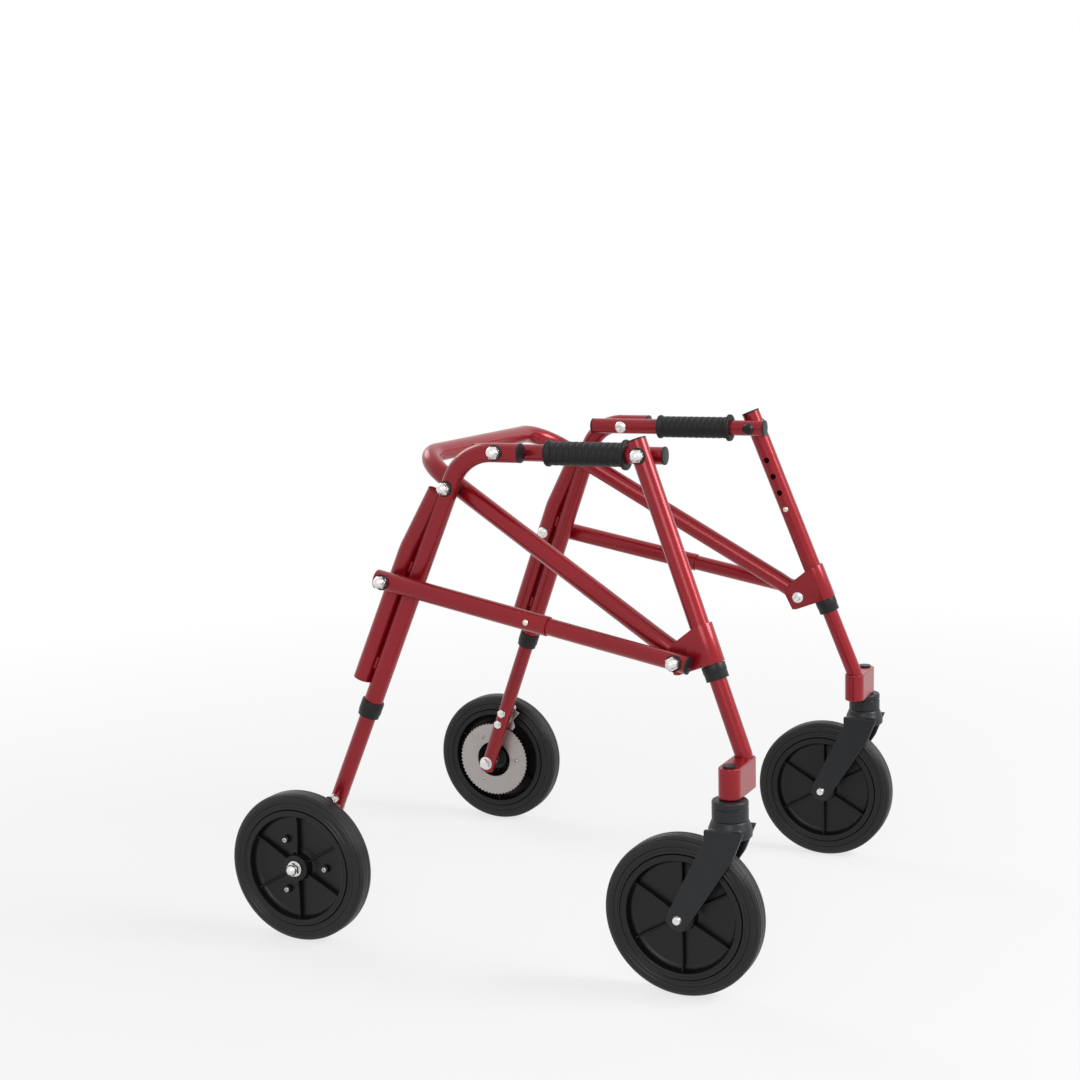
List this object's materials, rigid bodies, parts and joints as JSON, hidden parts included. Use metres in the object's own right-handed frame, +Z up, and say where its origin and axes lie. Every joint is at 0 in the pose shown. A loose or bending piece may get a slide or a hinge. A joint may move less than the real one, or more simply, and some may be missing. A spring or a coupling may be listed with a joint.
{
  "type": "folding walker",
  "caption": "Folding posterior walker for a child: bent-tube side frames, telescoping braces, swivel front casters and ratcheted rear wheels",
  "frame": {"origin": "on the floor under the middle of the walker", "axes": "+Z up, the user faces -Y, +X is the user's left"},
  "size_m": [0.6792, 0.7512, 0.6815],
  "materials": {
    "red_tube": "metallic candy red",
    "chrome": "bright plated",
    "steel": "stamped steel",
    "black_plastic": "fine moulded grain",
    "fork_nylon": "glass-filled nylon",
    "tyre": "smooth solid tyre",
    "grip": "ribbed rubber"
  },
  "bodies": {
    "frame": {"cross_frame": "red_tube"},
    "left_leg": {"left_rear_leg": "red_tube", "left_rear_leg_trim": "black_plastic", "left_rear_pivot_bolts": "chrome"},
    "left_lower_rear": {"left_rear_lower_tube": "red_tube", "left_rear_axle": "chrome", "left_pawl_bolts": "chrome"},
    "left_pawl": {"left_pawl_lever": "steel"},
    "left_rear_wheel": {"left_rear_tyre": "tyre", "left_rear_rim": "black_plastic", "left_ratchet_ring": "steel", "left_ring_screws": "steel"},
    "left_upright": {"left_front_upright": "red_tube", "left_front_bracket": "red_tube", "left_front_trim": "black_plastic", "left_front_pivot_bolts": "chrome"},
    "left_lower_front": {"left_front_lower_tube": "red_tube", "left_caster_block": "red_tube"},
    "left_fork": {"left_caster_fork": "fork_nylon", "left_caster_stem": "fork_nylon", "left_caster_axle": "chrome"},
    "left_caster_wheel": {"left_caster_tyre": "tyre", "left_caster_rim": "black_plastic"},
    "left_handle": {"left_handle_tube": "red_tube", "left_handle_grip": "grip", "left_handle_caps": "black_plastic"},
    "left_brace_outer": {"left_brace_sleeve": "red_tube"},
    "left_brace_inner": {"left_brace_inner_tube": "red_tube"},
    "left_brace_lock": {"left_brace_button": "chrome"},
    "left_height_lock": {"left_height_button": "chrome"},
    "right_leg": {"right_rear_leg": "red_tube", "right_rear_leg_trim": "black_plastic", "right_rear_pivot_bolts": "chrome"},
    "right_lower_rear": {"right_rear_lower_tube": "red_tube", "right_rear_axle": "chrome", "right_pawl_bolts": "chrome"},
    "right_pawl": {"right_pawl_lever": "steel"},
    "right_rear_wheel": {"right_rear_tyre": "tyre", "right_rear_rim": "black_plastic", "right_ratchet_ring": "steel", "right_ring_screws": "steel"},
    "right_upright": {"right_front_upright": "red_tube", "right_front_bracket": "red_tube", "right_front_trim": "black_plastic", "right_front_pivot_bolts": "chrome"},
    "right_lower_front": {"right_front_lower_tube": "red_tube", "right_caster_block": "red_tube"},
    "right_fork": {"right_caster_fork": "fork_nylon", "right_caster_stem": "fork_nylon", "right_caster_axle": "chrome"},
    "right_caster_wheel": {"right_caster_tyre": "tyre", "right_caster_rim": "black_plastic"},
    "right_handle": {"right_handle_tube": "red_tube", "right_handle_grip": "grip", "right_handle_caps": "black_plastic"},
    "right_brace_outer": {"right_brace_sleeve": "red_tube"},
    "right_brace_inner": {"right_brace_inner_tube": "red_tube"},
    "right_brace_lock": {"right_brace_button": "chrome"},
    "right_height_lock": {"right_height_button": "chrome"}
  },
  "joints": [
    {"name": "left_fold", "type": "hinge", "parent": "frame", "child": "left_leg", "pos_m": [0.22732, 0.07479, 0.60841], "axis": [-0.9973, 0, -0.0732], "range_deg": [0, 42]},
    {"name": "left_upright_fold", "type": "hinge", "parent": "frame", "child": "left_upright", "pos_m": [0.24216, -0.25568, 0.40637], "axis": [-0.9973, 0, -0.0732], "range_deg": [0, 14]},
    {"name": "left_handle_pivot", "type": "hinge", "parent": "left_leg", "child": "left_handle", "pos_m": [0.22381, 0.004, 0.65623], "axis": [-0.9973, 0, -0.0732], "range_deg": [-58.86, 0]},
    {"name": "left_brace_pivot", "type": "hinge", "parent": "left_leg", "child": "left_brace_outer", "pos_m": [0.23631, 0.15081, 0.48602], "axis": [-0.9973, 0, -0.0732], "range_deg": [-42.11, 0]},
    {"name": "left_brace_slide", "type": "slide", "parent": "left_brace_outer", "child": "left_brace_inner", "axis": [-0.0141, 0.9812, 0.1923], "range_m": [0, 0.10347]},
    {"name": "left_rear_height", "type": "slide", "parent": "left_leg", "child": "left_lower_rear", "axis": [-0.0682, -0.3649, 0.9286], "range_m": [0, 0.0508]},
    {"name": "left_front_height", "type": "slide", "parent": "left_upright", "child": "left_lower_front", "axis": [-0.0684, 0.3584, 0.9311], "range_m": [0, 0.0508]},
    {"name": "left_rear_wheel_spin", "type": "hinge", "parent": "left_lower_rear", "child": "left_rear_wheel", "pos_m": [0.30705, 0.27398, 0.1015], "axis": [1, 0, 0], "continuous": true},
    {"name": "left_pawl_lift", "type": "hinge", "parent": "left_lower_rear", "child": "left_pawl", "pos_m": [0.25957, 0.24735, 0.16928], "axis": [-1, 0, 0], "range_deg": [0, 10]},
    {"name": "left_caster_swivel", "type": "hinge", "parent": "left_lower_front", "child": "left_fork", "pos_m": [0.30456, -0.3342, 0.2], "axis": [0, 0, 1], "continuous": true},
    {"name": "left_caster_spin", "type": "hinge", "parent": "left_fork", "child": "left_caster_wheel", "pos_m": [0.30456, -0.2742, 0.1015], "axis": [1, 0, 0], "continuous": true},
    {"name": "left_brace_button_press", "type": "slide", "parent": "left_brace_outer", "child": "left_brace_lock", "axis": [-0.9973, 0, -0.0732], "range_m": [0, 0.001], "stiffness_N_per_m": 400},
    {"name": "left_height_button_press", "type": "slide", "parent": "left_upright", "child": "left_height_lock", "axis": [0.9973, 0, 0.0732], "range_m": [0, 0.001], "stiffness_N_per_m": 400},
    {"name": "right_fold", "type": "hinge", "parent": "frame", "child": "right_leg", "pos_m": [-0.22732, 0.07479, 0.60841], "axis": [-0.9973, 0, 0.0732], "range_deg": [0, 42]},
    {"name": "right_upright_fold", "type": "hinge", "parent": "frame", "child": "right_upright", "pos_m": [-0.24216, -0.25568, 0.40637], "axis": [-0.9973, 0, 0.0732], "range_deg": [0, 14]},
    {"name": "right_handle_pivot", "type": "hinge", "parent": "right_leg", "child": "right_handle", "pos_m": [-0.22381, 0.004, 0.65623], "axis": [-0.9973, 0, 0.0732], "range_deg": [-58.86, 0]},
    {"name": "right_brace_pivot", "type": "hinge", "parent": "right_leg", "child": "right_brace_outer", "pos_m": [-0.23631, 0.15081, 0.48602], "axis": [-0.9973, 0, 0.0732], "range_deg": [-42.11, 0]},
    {"name": "right_brace_slide", "type": "slide", "parent": "right_brace_outer", "child": "right_brace_inner", "axis": [0.0141, 0.9812, 0.1923], "range_m": [0, 0.10347]},
    {"name": "right_rear_height", "type": "slide", "parent": "right_leg", "child": "right_lower_rear", "axis": [0.0682, -0.3649, 0.9286], "range_m": [0, 0.0508]},
    {"name": "right_front_height", "type": "slide", "parent": "right_upright", "child": "right_lower_front", "axis": [0.0684, 0.3584, 0.9311], "range_m": [0, 0.0508]},
    {"name": "right_rear_wheel_spin", "type": "hinge", "parent": "right_lower_rear", "child": "right_rear_wheel", "pos_m": [-0.30705, 0.27398, 0.1015], "axis": [1, 0, 0], "continuous": true},
    {"name": "right_pawl_lift", "type": "hinge", "parent": "right_lower_rear", "child": "right_pawl", "pos_m": [-0.25957, 0.24735, 0.16928], "axis": [-1, 0, 0], "range_deg": [0, 10]},
    {"name": "right_caster_swivel", "type": "hinge", "parent": "right_lower_front", "child": "right_fork", "pos_m": [-0.30456, -0.3342, 0.2], "axis": [0, 0, 1], "continuous": true},
    {"name": "right_caster_spin", "type": "hinge", "parent": "right_fork", "child": "right_caster_wheel", "pos_m": [-0.30456, -0.2742, 0.1015], "axis": [1, 0, 0], "continuous": true},
    {"name": "right_brace_button_press", "type": "slide", "parent": "right_brace_outer", "child": "right_brace_lock", "axis": [0.9973, 0, -0.0732], "range_m": [0, 0.001], "stiffness_N_per_m": 400},
    {"name": "right_height_button_press", "type": "slide", "parent": "right_upright", "child": "right_height_lock", "axis": [-0.9973, 0, 0.0732], "range_m": [0, 0.001], "stiffness_N_per_m": 400}
  ],
  "couplings": [
    {"joint": "right_upright_fold", "follows": "right_fold", "ratio": 0.33331},
    {"joint": "right_handle_pivot", "follows": "right_fold", "ratio": -1.4013},
    {"joint": "right_brace_pivot", "follows": "right_fold", "ratio": -1.0027},
    {"joint": "right_brace_slide", "follows": "right_fold", "m_per_rad": 0.14115},
    {"joint": "left_fold", "follows": "right_fold", "ratio": 1},
    {"joint": "left_upright_fold", "follows": "right_fold", "ratio": 0.33331},
    {"joint": "left_handle_pivot", "follows": "right_fold", "ratio": -1.4013},
    {"joint": "left_brace_pivot", "follows": "right_fold", "ratio": -1.0027},
    {"joint": "left_brace_slide", "follows": "right_fold", "m_per_rad": 0.14115}
  ]
}
